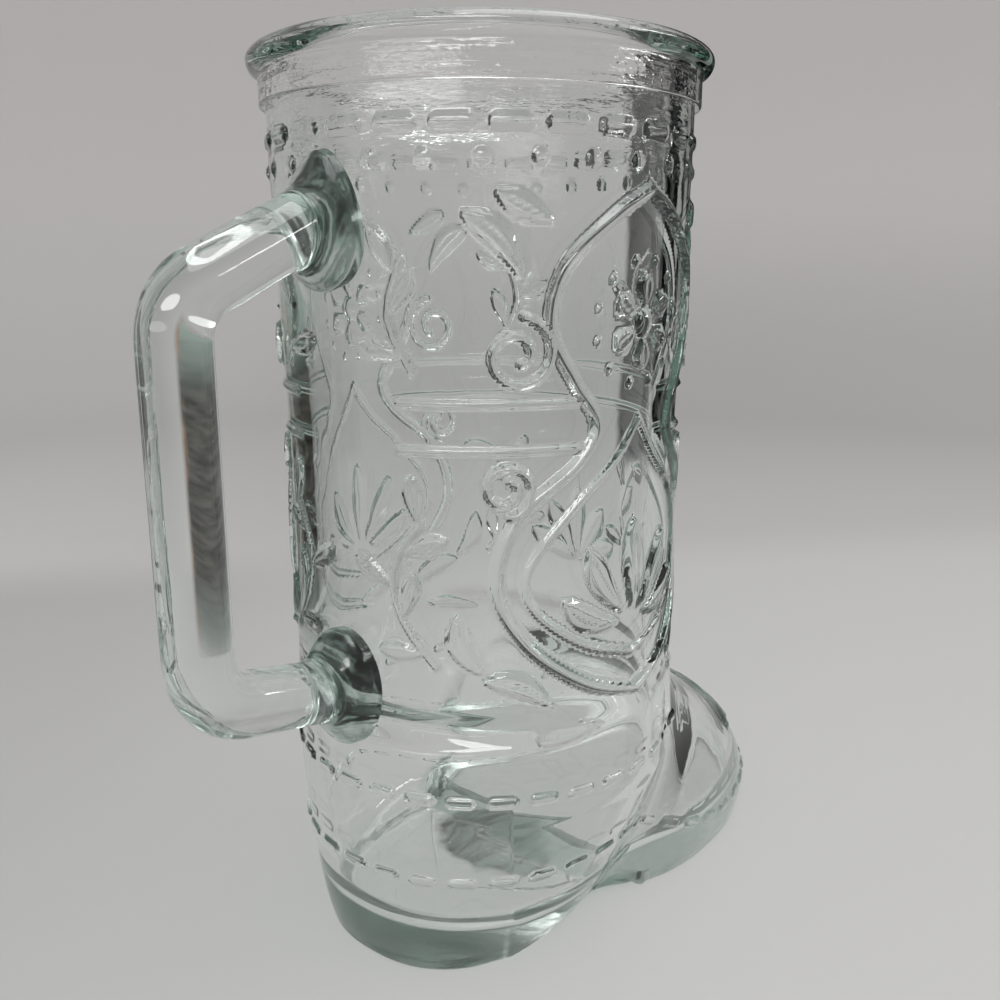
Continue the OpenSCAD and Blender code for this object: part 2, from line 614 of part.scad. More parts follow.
module other_side() mirror([0, 1, 0]) children();
module right_flame() color(relief_glass) flame();
module left_flame() color(relief_glass) other_side() flame();
module right_inner_flame() color(relief_glass) inner_flame();
module left_inner_flame() color(relief_glass) other_side() inner_flame();
module right_curls() color(relief_glass) curls();
module left_curls() color(relief_glass) other_side() curls();
module right_rosette() color(relief_glass) rosette();
module left_rosette() color(relief_glass) other_side() rosette();
module right_leaves() color(relief_glass) leaves();
module left_leaves() color(relief_glass) other_side() leaves();
module right_branches() color(relief_glass) branches();
module left_branches() color(relief_glass) other_side() branches();
module right_strap() color(relief_glass) strap();
module left_strap() color(relief_glass) other_side() strap();

rim_bead();
rim_band();
leg();
foot();
heel();
shank();
fore_sole();
grip();
upper_arm();
lower_arm();
upper_pad();
lower_pad();
rim_stitches();
rim_dots();
vamp_stitches();
welt_stitches();
toe_cap_line();
toe_bars();
right_flame();
left_flame();
right_inner_flame();
left_inner_flame();
right_curls();
left_curls();
right_rosette();
left_rosette();
right_leaves();
left_leaves();
right_branches();
left_branches();
front_leaves();
right_strap();
left_strap();
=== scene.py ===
# A pressed glass boot mug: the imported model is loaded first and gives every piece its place
import math

import bpy
import numpy as np
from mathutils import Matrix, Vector


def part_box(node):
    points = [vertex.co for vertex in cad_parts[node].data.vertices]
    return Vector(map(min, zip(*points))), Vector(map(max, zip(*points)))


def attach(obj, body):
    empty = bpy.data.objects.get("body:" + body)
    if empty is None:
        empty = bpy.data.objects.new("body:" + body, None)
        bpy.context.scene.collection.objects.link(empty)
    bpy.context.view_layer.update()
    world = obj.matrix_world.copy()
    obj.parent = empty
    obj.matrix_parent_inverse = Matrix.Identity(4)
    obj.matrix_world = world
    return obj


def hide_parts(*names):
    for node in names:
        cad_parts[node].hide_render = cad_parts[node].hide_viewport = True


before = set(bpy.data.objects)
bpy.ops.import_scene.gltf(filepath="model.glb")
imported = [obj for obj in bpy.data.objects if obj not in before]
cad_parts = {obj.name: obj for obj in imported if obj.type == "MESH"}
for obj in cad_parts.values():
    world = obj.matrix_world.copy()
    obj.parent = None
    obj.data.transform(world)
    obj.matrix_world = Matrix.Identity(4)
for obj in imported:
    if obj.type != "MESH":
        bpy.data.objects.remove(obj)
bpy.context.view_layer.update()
MM = 0.001


# View
# The mug is seen from beside its handle and from a little above the middle of the leg, so the toe
# points away to the right and the floor of the heel shows through the wall.
camera_place = (-144.8, -121.5, 127.0)
camera_heading = math.radians(40.0) - math.atan(0.018)
camera_dip = math.radians(13.65)
camera = bpy.data.objects.new("camera", bpy.data.cameras.new("camera"))
camera.data.sensor_width = 36
camera.data.lens = 36
camera.data.clip_start = 0.01
camera.location = [MM * value for value in camera_place]
camera.rotation_euler = (math.pi / 2 - camera_dip, 0, camera_heading - math.pi / 2)
bpy.context.scene.collection.objects.link(camera)
bpy.context.scene.camera = camera


# Outer skin of leg and foot
# The mould's face in one sheet, from the sole up to the rim band, with a ring of points at every
# height. Sizes are in millimetres. The leg is round, the heel swells to meet it, and the forefoot
# joins the heel in a soft crease.
def box_mm(node):
    low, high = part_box(node)
    return np.array(low) / MM, np.array(high) / MM


sole_top_z = box_mm("foot")[0][2]
ankle_z = box_mm("leg")[0][2]
leg_top_z = box_mm("rim_band")[0][2]
leg_top_r = box_mm("leg")[1][0]
leg_mid_r = 35.9
leg_mid_z = 82.0
wall = 4.0
heel_back = 33.0
heel_len = 48.0
heel_w = 45.0
heel_top_r = 36.6
heel_swell_h = 32.0
heel_round = 2.3
heel_rise = 2.0
heel_flare = 1.2
waist_x = 5.0
waist_w = 40.4
ball_x = 38.0
ball_w = 66.0
toe_reach = 80.0
toe_h = 10.0
instep_x = 36.0
instep_h = 46.0
foot_swell = 1.5
foot_swell_h = 8.0
crease_r = 3.5
kick = 0.14
kick_power = 6
waist_power = 2.6
toe_power = 2.1
vamp_side_power = 2.3
vamp_top_power = 2.6
vamp_slope_power = 0.68
halvings = 22


def mix(a, b, t):
    return a + (b - a) * t


def ease(t):
    u = np.clip(t, 0, 1)
    return u * u * (3 - 2 * u)


def bulge(t, power):
    return (1 - (1 - np.clip(t, 0, 1)) ** power) ** (1 / power)


def leg_r(z):
    above = mix(leg_mid_r, leg_top_r, ease((z - leg_mid_z) / (leg_top_z - leg_mid_z)))
    below = mix(leg_mid_r, heel_top_r, ease((leg_mid_z - z) / (leg_mid_z - heel_swell_h)))
    return np.where(z > leg_mid_z, above, below)


def in_heel(x, y, z):
    rise = bulge(z / heel_swell_h, heel_rise)
    flare = bulge(z / heel_swell_h, heel_flare)
    long = mix(heel_len / 2, heel_top_r, rise)
    wide = mix(heel_w / 2, heel_top_r, flare)
    middle = mix(heel_len / 2 - heel_back, 0, rise)
    power = mix(heel_round, 2, flare)
    oval = (np.abs(x - middle) / long) ** power + (np.abs(y) / wide) ** power < 1
    return np.where(z >= heel_swell_h, np.hypot(x, y) < leg_r(z), oval)


def foot_half(x, z):
    swell = foot_swell * (1 - (1 - np.minimum(z / foot_swell_h, 1)) ** 2)
    back = np.clip((x - waist_x) / (ball_x - waist_x), 0, 1)
    front = np.clip((x - ball_x) / (toe_reach + swell - ball_x), 0, 1)
    widest = ball_w / 2 + swell
    rear = mix(waist_w / 2, widest, 1 - (1 - back) ** waist_power)
    return np.where(x < ball_x, rear, widest * (1 - front**toe_power) ** (1 / toe_power))


def foot_top(x):
    v = np.maximum(toe_reach + foot_swell - x, 0) / (toe_reach + foot_swell - instep_x)
    slope = (1 - kick) * v**vamp_slope_power + kick * v**kick_power
    return toe_h + (instep_h - toe_h) * slope


def in_foot(x, y, z):
    top = foot_top(x)
    level = np.clip(z / top, 0, 1)
    half = foot_half(x, z) * (1 - level**vamp_top_power) ** (1 / vamp_side_power)
    return (x > -heel_back / 2) & (z < top) & (np.abs(y) < half)


def middle_x(z):
    return 2 * waist_x * (1 - ease((z - instep_h) / (ankle_z - instep_h)))


def reach_of(inside, angle, z):
    low = np.zeros(np.broadcast(angle, z).shape)
    high = low + toe_reach + heel_back
    for _ in range(halvings):
        half = (low + high) / 2
        hit = inside(middle_x(z) + half * np.cos(angle), half * np.sin(angle), z)
        low, high = np.where(hit, half, low), np.where(hit, high, half)
    return (low + high) / 2


def boot_r(angle, z, crease=crease_r):
    heel = reach_of(in_heel, angle, z)
    foot = reach_of(in_foot, angle, z)
    soft = 2 * crease * (1 - ease((z - instep_h) / (ankle_z - instep_h))) + 1e-9
    joined = np.maximum(heel, foot) + np.maximum(soft - np.abs(heel - foot), 0) ** 2 / (4 * soft)
    return np.where(z >= ankle_z, heel, joined)


def ring_points(radius, angle, z):
    x = middle_x(z) + radius * np.cos(angle)
    y = radius * np.sin(angle)
    return np.stack(np.broadcast_arrays(x, y, z), -1)


def facing(points):
    along = np.roll(points, -1, 1) - np.roll(points, 1, 1)
    normal = np.cross(along, np.gradient(points, axis=0))
    return normal / np.linalg.norm(normal, axis=-1, keepdims=True)


columns = 560
foot_levels = np.concatenate([
    np.linspace(sole_top_z, foot_swell_h, 8),
    np.linspace(foot_swell_h, instep_h, 107)[1:],
    np.linspace(instep_h, ankle_z, 14)[1:]])
leg_levels = np.linspace(ankle_z, leg_top_z, 158)
levels = np.concatenate([foot_levels, leg_levels[1:]])
heights = np.interp(np.arange(2 * len(levels) - 1) / 2, np.arange(len(levels)), levels)
turns = np.arange(2 * columns) * math.pi / columns
on_foot_rows = heights < ankle_z
radii = np.repeat(leg_r(heights)[:, None], len(turns), 1)
radii[on_foot_rows] = boot_r(turns[None, :], heights[on_foot_rows][:, None])
skin = ring_points(radii, turns[None, :], heights[:, None])
skin_facing = facing(skin)
relief = np.zeros(skin.shape[:2])


# Stitches and dots under the rim
# A row of long stitches and a row of small round dots run round the leg just below the band. They
# are sunk in the mould, so they stand out from the wall with soft round backs.
stitch_out = 0.55
rim_stitch_n = 27
rim_stitch_z = leg_top_z - 5.6
rim_dot_z = leg_top_z - 10.4
stitch_len = 6.6
stitch_w = 2.4
dot_d = 2.4
line_margin = 0.6
dot_margin = 1.2


def way_round(angle):
    return leg_mid_r * ((turns - math.radians(angle) + math.pi) % (2 * math.pi) - math.pi)


def patch(way, s_low, s_high, z_low, z_high):
    rows = np.nonzero((heights > z_low) & (heights < z_high))[0]
    cols = np.nonzero((way > s_low) & (way < s_high))[0]
    return rows, cols


def lift(rows, cols, height):
    spot = np.ix_(rows, cols)
    relief[spot] = np.maximum(relief[spot], height)


def soft_back(gap):
    return (1 - np.minimum(gap / 1.12, 1) ** 2) ** 1.25


def pillow(gap):
    return (1 - np.minimum(gap / 1.08, 1) ** 4) ** 1.5


def raise_line(path, wide, out, way, back=soft_back):
    margin = line_margin * wide
    for (s0, z0), (s1, z1) in zip(path[:-1], path[1:]):
        rows, cols = patch(way, min(s0, s1) - margin, max(s0, s1) + margin,
                           min(z0, z1) - margin, max(z0, z1) + margin)
        s = way[cols][None, :] - s0
        z = heights[rows][:, None] - z0
        t = np.clip((s * (s1 - s0) + z * (z1 - z0)) / ((s1 - s0) ** 2 + (z1 - z0) ** 2), 0, 1)
        gap = np.hypot(s - t * (s1 - s0), z - t * (z1 - z0))
        lift(rows, cols, out * back(gap / (wide / 2)))


def raise_dot(s0, z0, radius, out, way):
    margin = dot_margin * radius
    rows, cols = patch(way, s0 - margin, s0 + margin, z0 - margin, z0 + margin)
    gap = np.hypot(way[cols][None, :] - s0, heights[rows][:, None] - z0)
    lift(rows, cols, out * soft_back(gap / radius) ** 0.7)


for index in range(rim_stitch_n):
    stitch_way = way_round(index * 360 / rim_stitch_n)
    half = (stitch_len - stitch_w) / 2
    raise_line([(-half, rim_stitch_z), (half, rim_stitch_z)], stitch_w, stitch_out, stitch_way, pillow)
    raise_dot(0, rim_dot_z, dot_d / 2, stitch_out, way_round((index + 0.5) * 360 / rim_stitch_n))


# Stitches of the foot
# One row runs level round the heel. The other runs low above the sole and drops over the waist to
# the forefoot, as the welt of a sewn boot does. Each stitch is a short soft bar.
vamp_stitch_z = 37.0
welt_stitch_z = 21.0
welt_front_z = 8.5
foot_stitch_len = 5.2
foot_stitch_w = 2.0
vamp_row_end = 115
welt_row_end = 158
welt_drop_from = 74
welt_drop_over = 62


def raise_on_foot(path, wide, out, back=soft_back):
    margin = line_margin * wide
    for start, end in zip(path[:-1], path[1:]):
        low = min(start[2], end[2]) - margin
        high = max(start[2], end[2]) + margin
        rows = np.nonzero((heights > low) & (heights < high))[0]
        run = end - start
        away = skin[rows] - start
        t = np.clip(away @ run / (run @ run), 0, 1)
        gap = np.linalg.norm(away - t[..., None] * run, axis=-1)
        relief[rows] = np.maximum(relief[rows], out * back(gap / (wide / 2)))


def vamp_row(angle):
    return np.full_like(angle, vamp_stitch_z)


def welt_row(angle):
    return mix(welt_stitch_z, welt_front_z, ease((np.abs(angle) - welt_drop_from) / welt_drop_over))


def stitch_row(row, last):
    angle = np.linspace(-last, last, 2 * last + 1)
    z = row(angle)
    turn = np.radians(180 + angle)
    path = ring_points(boot_r(turn, z), turn, z)
    steps = np.linalg.norm(np.diff(path, axis=0), axis=1)
    run = np.concatenate([[0], np.cumsum(steps)])
    run -= run[last]
    pitch = foot_stitch_len + foot_stitch_w
    most = int(run[-1] // pitch)
    half_stitch = (foot_stitch_len - foot_stitch_w) / 2
    for number in range(-most, most + 1):
        spots = number * pitch + np.array([-half_stitch, 0, half_stitch])
        raise_on_foot([np.array([np.interp(spot, run, path[:, k]) for k in range(3)])
                       for spot in spots], foot_stitch_w, stitch_out, pillow)


stitch_row(vamp_row, vamp_row_end)
stitch_row(welt_row, welt_row_end)


# Toe cap
# A bowed line crosses the forefoot behind the toe, with one bar on the middle of the cap and two
# short ones at each side.
cap_back = 19
cap_x = toe_reach - cap_back
cap_bow = ball_w / 10
cap_line_w = 2.4
cap_line_out = 0.9
fine_w = 1.5
fine_out = 0.7
line_gap = 4.2
cap_line_share = 0.93
middle_bar_share = 0.72
side_bar_from = 0.62
side_bar_to = 0.86


def vamp_point(x, y):
    half = foot_half(x, foot_swell_h)
    level = max(1 - (abs(y) / half) ** vamp_side_power, 0) ** (1 / vamp_top_power)
    return np.array([x, y, foot_top(x) * level])


def cap_bar(x, side):
    half = foot_half(x, 0)
    shares = np.linspace(side_bar_from, side_bar_to, 6)
    raise_on_foot([vamp_point(x, side * half * share) for share in shares], fine_w, fine_out)


raise_on_foot([vamp_point(cap_x + cap_bow * (0.5 - abs(t)), t * cap_line_share * foot_half(cap_x, 0))
               for t in np.linspace(-1, 1, 41)], cap_line_w, cap_line_out)
middle_bar = np.linspace(cap_x + cap_bow, mix(cap_x, toe_reach, middle_bar_share), 8)
raise_on_foot([vamp_point(x, 0) for x in middle_bar], fine_w, fine_out)
for side in (-1, 1):
    for step in (0, 1):
        cap_bar(cap_x + step * line_gap, side)


# Flame figure
# The wide line of two lobes that stands on each side of the leg, with a fine line inside its lower
# lobe, as on the stitched shaft of a riding boot.
side_angle = -95
side_way = way_round(side_angle)
line_w = 2.4
line_out = 1.25
flame_low_z = 53.0
flame_high_z = 137.5
flame_h = flame_high_z - flame_low_z
flame_half_w = 26.0
neck_share = 0.57
neck_half_share = 0.36
flame_shares = [(0, 0), (0.42, 0.05), (0.82, 0.15), (1, 0.27), (0.86, 0.4), (0.48, 0.5),
                (neck_half_share, neck_share), (0.52, 0.65), (0.68, 0.75), (0.6, 0.86), (0.28, 0.95), (0, 1)]
inner_shares = [(0, 0), (0.5, 0.09), (0.92, 0.27), (0.94, 0.45), (0.58, 0.68), (0.22, 0.85), (0, 1)]


def curve(points, parts=10):
    knots = np.array([points[0], *points, points[-1]], float)
    spots = []
    for a, b, c, d in zip(knots[:-3], knots[1:-2], knots[2:-1], knots[3:]):
        for t in np.arange(parts) / parts:
            spots.append(b + ((c - a) * t + (2 * a - 5 * b + 4 * c - d) * t**2
                              + (3 * b - a - 3 * c + d) * t**3) / 2)
    return np.array([*spots, knots[-1]])


def raise_both_sides(points, wide, out):
    path = curve(points)
    raise_line(path, wide, out, side_way)
    raise_line(path * [-1, 1], wide, out, side_way)


def on_flame(share):
    return share[0] * flame_half_w, flame_low_z + share[1] * flame_h


raise_both_sides([on_flame(share) for share in flame_shares], line_w, line_out)
inner_low_z = flame_low_z + 1.7 * line_gap
inner_high_z = flame_low_z + neck_share * flame_h
raise_both_sides([(share[0] * (flame_half_w - line_gap), mix(inner_low_z, inner_high_z, share[1]))
                  for share in inner_shares], fine_w, fine_out)


# Leaves, rosette and branches
# Blunt leaves with a sunk middle vein fill the flame and stand beside it. The rosette in the upper
# lobe has six petals, a round core and a ring of dots.
leaf_len = 17.0
leaf_w = 5.6
leaf_out = 1.0
rosette_d = 15.0
rosette_z = flame_low_z + 0.755 * flame_h
twig_leaf_len = 8.5
twig_leaf_w = 3.6
twig_leaf_lean = 48
tip_power = 1.5
blunt_power = 0.62
leaf_back_power = 1.1
vein_depth = 0.3
vein_w = 0.5
leaf_shares = [
    (0, 0.17, 1, 1, 0, 0), (0.06, 0.17, 0.92, 1, 34, 0.06), (0.1, 0.16, 0.8, 0.95, 66, 0.1),
    (0.62, 0.0, 0.8, 0.9, 62, -0.1), (0.5, -0.05, 0.75, 0.85, 96, -0.06),
    (1.05, 0.08, 0.7, 0.85, 28, 0.1), (0.86, 0.83, 0.8, 0.9, 40, -0.1), (0.66, 0.93, 0.6, 0.8, 62, 0),
]
stem_shares = [
    [(1.38, 0.1), (1.6, 0.19), (1.66, 0.29), (1.48, 0.38)],
    [(1.5, 0.675), (1.64, 0.77), (1.55, 0.87)],
]


def raise_leaf(s0, z0, long, wide, lean, bend, way):
    turn = math.radians(lean)
    size = long + wide
    rows, cols = patch(way, s0 - size, s0 + size, z0 - size, z0 + size)
    s = way[cols][None, :] - s0
    z = heights[rows][:, None] - z0
    u = np.clip((s * math.sin(turn) + z * math.cos(turn)) / long, 0, 1)
    v = s * math.cos(turn) - z * math.sin(turn) - 4 * bend * u * (1 - u)
    half = wide / 2 * np.sin(math.pi * u**tip_power) ** blunt_power + 1e-6
    body = np.maximum(1 - (v / half) ** 2, 0) ** leaf_back_power
    vein = 1 - vein_depth * np.exp(-((v / vein_w) ** 2)) * ease((1 - u) * 4)
    lift(rows, cols, leaf_out * body * vein * ease(u * 6))


for side in (-1, 1):
    for across, up, long, wide, lean, bend in leaf_shares:
        s, z = on_flame((side * across, up))
        raise_leaf(s, z, long * leaf_len, wide * leaf_w, side * lean, side * bend * leaf_len, side_way)
    for stem in stem_shares:
        path = curve([on_flame((side * across, up)) for across, up in stem], 3)
        raise_line(path, fine_w, fine_out, side_way)
        for number in range(1, len(path), 2):
            run = path[number] - path[number - 1]
            off_stem = -twig_leaf_lean if number % 4 == 1 else twig_leaf_lean
            lean = math.degrees(math.atan2(run[0], run[1])) + off_stem
            raise_leaf(*path[number], twig_leaf_len, twig_leaf_w, lean, 0, side_way)

core_r = 0.3 * rosette_d / 2
for number in range(6):
    turn = number * math.pi / 3
    raise_leaf(core_r * math.sin(turn), rosette_z + core_r * math.cos(turn), rosette_d / 2 - core_r,
               0.31 * rosette_d, math.degrees(turn), 0, side_way)
raise_dot(0, rosette_z, core_r, line_out, side_way)
for number in range(12):
    turn = (number + 0.5) * math.pi / 6
    ring = rosette_d / 2 + dot_d
    raise_dot(ring * math.cos(turn), rosette_z + ring * math.sin(turn), fine_w / 2, fine_out, side_way)


# Strap and curls
# Two fine lines make a strap from the flame's neck to the front and to the back, with scroll curls
# above and below it.
strap_z = flame_low_z + neck_share * flame_h
strap_w = 7.5
pad_w = 15.0
strap_start = neck_half_share * flame_half_w + line_w
strap_back = 0.8 * pad_w - math.radians(180 + side_angle) * leg_mid_r
strap_front = -math.radians(side_angle) * leg_mid_r
curl_r = 6.0
curl_side = 23.0
curl_turns = 1.4
curl_start = 100
small_curl = 0.75

for up in (-1, 1):
    for end in (strap_back, strap_front):
        start = math.copysign(strap_start, end)
        raise_line([(start, strap_z + up * strap_w / 2), (end, strap_z + up * strap_w / 2)],
                   fine_w, fine_out, side_way)
    r0 = curl_r if up > 0 else small_curl * curl_r
    x = curl_side + curl_r - r0
    z = strap_z + up * (strap_w / 2 + fine_w + r0)
    for side in (-1, 1):
        spots = []
        for t in np.linspace(0, 1, 45):
            turn = math.radians(curl_start + 360 * curl_turns * t)
            spots.append((side * (x + mix(r0, fine_w, t) * math.cos(turn)),
                          z + up * mix(r0, fine_w, t) * math.sin(turn)))
        raise_line(spots, fine_w, line_out, side_way)

# The other side of the mould mirrors this one across the middle plane, and a palmette of five blunt
# leaves stands on the front between them
front_leaf_z = 61.0
front_leans = (-64, -32, 0, 32, 64)
mirrored = (-np.arange(len(turns))) % len(turns)
relief = np.maximum(relief, relief[:, mirrored])
for lean in front_leans:
    long = leaf_len * (1 - abs(lean) / 360)
    raise_leaf(0, front_leaf_z, long, leaf_w, lean, 0, way_round(0))


# Glass
# Soda-lime glass, pressed and fire polished: clear and grey-green where it is thick. A joint is where
# two portions of the mould meet in one melt, so it shows nothing.
class Wire:
    """A socket of a node tree; arithmetic on it adds Math nodes."""

    def __init__(self, tree, socket=None):
        self.tree = tree
        self.socket = socket

    def add(self, kind, settings=None, sockets=None, out=0):
        node = self.tree.nodes.new(kind)
        for name, value in (settings or {}).items():
            setattr(node, name, value)
        for name, value in (sockets or {}).items():
            if isinstance(value, Wire):
                self.tree.links.new(value.socket, node.inputs[name])
            else:
                node.inputs[name].default_value = value
        return Wire(self.tree, node.outputs[out])

    def maths(self, operation, first, second):
        return self.add("ShaderNodeMath", {"operation": operation}, {0: first, 1: second})

    def __add__(self, other):
        return self.maths("ADD", self, other)

    def __mul__(self, other):
        return self.maths("MULTIPLY", self, other)

    def __rsub__(self, other):
        return self.maths("SUBTRACT", other, self)

    def __sub__(self, other):
        return self.maths("SUBTRACT", self, other)

    def __gt__(self, other):
        return self.maths("GREATER_THAN", self, other)

    def __lt__(self, other):
        return self.maths("LESS_THAN", self, other)

    def soft_step(self, low, high):
        return self.add("ShaderNodeMapRange", {"interpolation_type": "SMOOTHSTEP"},
                        {0: self, 1: low, 2: high})

    def along(self, direction):
        return self.add("ShaderNodeVectorMath", {"operation": "DOT_PRODUCT"},
                        {0: self, 1: direction}, "Value")

    def part(self, axis):
        return self.add("ShaderNodeSeparateXYZ", None, {0: self}, axis)

    def blend(self, share, colour_a, colour_b):
        return self.add("ShaderNodeMix", {"data_type": "RGBA"}, {0: share, 6: colour_a, 7: colour_b}, 2)

    def most(self, other):
        return self.maths("MAXIMUM", self, other)

    __radd__ = __add__
    __rmul__ = __mul__


glass_ior = 1.52
lamp_share = 0.97


def noise(place, size, detail=2.0):
    """Soft noise from 0 to 1 whose lumps are size wide, along x, y and z, in millimetres."""
    stretched = place.add("ShaderNodeVectorMath", {"operation": "DIVIDE"},
                          {0: place, 1: [MM * side for side in size]})
    return place.add("ShaderNodeTexNoise", None,
                     {"Vector": stretched, "Scale": 1.0, "Detail": detail, "Roughness": 0.5})


def glass(name, colour, density, waves, wave_depth, tint=None, roughness=None):
    """waves, tint and roughness are functions from the place on the glass; waves gives the height of
    its surface, from 0 to 1."""
    material = bpy.data.materials.new(name)
    material.use_nodes = True
    tree = material.node_tree
    tree.nodes.clear()
    root = Wire(tree)
    place = root.add("ShaderNodeTexCoord", out="Object")
    ripple = root.add("ShaderNodeBump", None,
                      {"Strength": 1.0, "Distance": wave_depth * MM, "Height": waves(place)})
    body = root.add("ShaderNodeBsdfPrincipled", None,
                    {"Base Color": tint(place) if tint else (1, 1, 1, 1),
                     "Roughness": roughness(place) if roughness else 0.0,
                     "IOR": glass_ior, "Transmission Weight": 1.0, "Normal": ripple})
    clear = root.add("ShaderNodeBsdfTransparent", None, {"Color": (1, 1, 1, 1)})
    joint = root.add("ShaderNodeBsdfTransparent", None, {"Color": (1, 1, 1, 1)})
    seam = root.add("ShaderNodeAttribute", {"attribute_name": "seam"}, out="Fac") > 0.5
    shadow = root.add("ShaderNodeLightPath", out="Is Shadow Ray")
    scattered = root.add("ShaderNodeLightPath", out="Is Diffuse Ray")
    see_through = root.add("ShaderNodeMixShader", None,
                           {0: shadow.most(scattered) * lamp_share, 1: body, 2: clear})
    surface = root.add("ShaderNodeMixShader", None, {0: seam, 1: see_through, 2: joint})
    depth = root.add("ShaderNodeVolumeAbsorption", None, {"Color": colour, "Density": density})
    output = tree.nodes.new("ShaderNodeOutputMaterial")
    tree.links.new(surface.socket, output.inputs["Surface"])
    tree.links.new(depth.socket, output.inputs["Volume"])
    return material


def chill_marks(place):
    """The plunger leaves fine level ripples in the top of the wall."""
    near_rim = place.part("Z").soft_step(134 * MM, 146 * MM)
    return noise(place, (9, 9, 14)) + 1.4 * near_rim * noise(place, (7, 7, 1.3), 3.0)


wall_glass = glass("clear pressed glass", (0.79, 0.87, 0.84, 1), 60.0, chill_marks, 0.05)


def glass_piece(node, patches, poles, material, slot, *raised):
    """A closed piece of glass from patches of rings, each patch starting where the last one ends. It
    stands for its own node and for the raised ones that it carries.
    A patch is (points, facings or None, seam). poles are the middle points that close both ends;
    without them the last ring is the first one again."""
    count = patches[0][0].shape[1]
    points = np.concatenate([patches[0][0]] + [patch[0][1:] for patch in patches[1:]])
    total = len(points) if poles else len(points) - 1
    left = np.arange(count)
    right = (left + 1) % count
    corners, normals, seams = [], [], []
    start = 0
    for spots, facings, seam in patches:
        facings = facing(spots) if facings is None else facings
        seam = np.broadcast_to(seam, spots.shape[:2])
        row = np.arange(len(spots) - 1)[:, None]
        for part in ((row, left), (row, right), (row + 1, right), (row + 1, left)):
            where = np.broadcast_arrays(*part)
            corners.append(((where[0] + start) % total) * count + where[1])
            normals.append(facings[where[0], where[1]])
            seams.append(seam[where[0], where[1]])
        start += len(spots) - 1
    quads = []
    quad_normals = []
    quad_seams = []
    for first in range(0, len(corners), 4):
        quads.append(np.stack(corners[first:first + 4], -1).reshape(-1))
        quad_normals.append(np.stack(normals[first:first + 4], -2).reshape(-1, 3))
        quad_seams.append(np.stack(seams[first:first + 4], -1).reshape(-1))
    loops = np.concatenate(quads)
    loop_normals = np.concatenate(quad_normals)
    loop_seams = np.concatenate(quad_seams)
    starts = np.arange(0, len(loops), 4)
    vertices = points[:total].reshape(-1, 3)
    for end, pole in enumerate(poles or ()):
        ring = 0 if end == 0 else (total - 1) * count
        tip = np.full(count, len(vertices))
        fan = [tip, ring + right, ring + left] if end == 0 else [ring + left, ring + right, tip]
        spots, facings, seam = patches[0 if end == 0 else -1]
        edge = facing(spots) if facings is None else facings
        up = edge[0 if end == 0 else -1].mean(0)
        up /= np.linalg.norm(up)
        starts = np.concatenate([starts, len(loops) + np.arange(0, 3 * count, 3)])
        loops = np.concatenate([loops, np.stack(fan, -1).reshape(-1)])
        loop_normals = np.concatenate([loop_normals, np.tile(up, (3 * count, 1))])
        last_seam = np.broadcast_to(seam, spots.shape[:2])[0 if end == 0 else -1].mean()
        loop_seams = np.concatenate([loop_seams, np.full(3 * count, last_seam)])
        vertices = np.vstack([vertices, pole])
    mesh = bpy.data.meshes.new(f"{node}_glass")
    mesh.vertices.add(len(vertices))
    mesh.vertices.foreach_set("co", (vertices * MM).astype(np.float32).reshape(-1))
    mesh.loops.add(len(loops))
    mesh.loops.foreach_set("vertex_index", loops.astype(np.int32))
    mesh.polygons.add(len(starts))
    mesh.polygons.foreach_set("loop_start", starts.astype(np.int32))
    mesh.update(calc_edges=True)
    mesh.polygons.foreach_set("use_smooth", np.ones(len(starts), bool))
    attribute = mesh.attributes.new("seam", "FLOAT", "CORNER")
    attribute.data.foreach_set("value", loop_seams.astype(np.float32))
    mesh.normals_split_custom_set(loop_normals.astype(np.float32).tolist())
    mesh.materials.append(material)
    piece = bpy.data.objects.new(f"{node}_glass", mesh)
    bpy.context.scene.collection.objects.link(piece)
    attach(piece, "root")
    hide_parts(node, *raised)


def every_other(grid):
    return grid[::2, ::2]


outer = every_other(skin + skin_facing * relief[..., None])
outer_facing = every_other(facing(skin + skin_facing * relief[..., None]))
foot_count = len(foot_levels)
angles = turns[::2]
joint_gap = 0.005


# Leg
# The upright hollow shaft. Its inside is plain and smooth, from the plunger, and its outside carries
# the relief. The handle's pads are one melt with it, so the wall is open to them there.
def inner_leg(z):
    return ring_points(leg_r(z)[:, None] - wall, angles[None, :], z[:, None])


pad_h = 21.0
pad_egg = {"upper_pad": 0.24, "lower_pad": 0.0}


def pad_middle_z(node):
    low, high = box_mm(node)
    return (low[2] + high[2]) / 2


def egg_w(egg, up):
    return (1 - egg * up) * (1 - 0.15 * egg)


def under_pads(points):
    seam = np.zeros(points.shape[:2])
    for node, egg in pad_egg.items():
        up = (points[..., 2] - pad_middle_z(node)) / (pad_h / 2)
        size = np.hypot(points[..., 1] / (pad_w / 2 * egg_w(egg, np.clip(up, -1, 1))), up)
        seam = np.maximum(seam, np.where(points[..., 0] < 0, np.clip(0.5 + (1 - size) * 4, 0, 1), 0))
    return seam


def annulus(ring_a, ring_b, up):
    points = np.stack([ring_a, ring_b])
    return points, np.broadcast_to([0.0, 0.0, float(up)], points.shape), 1.0


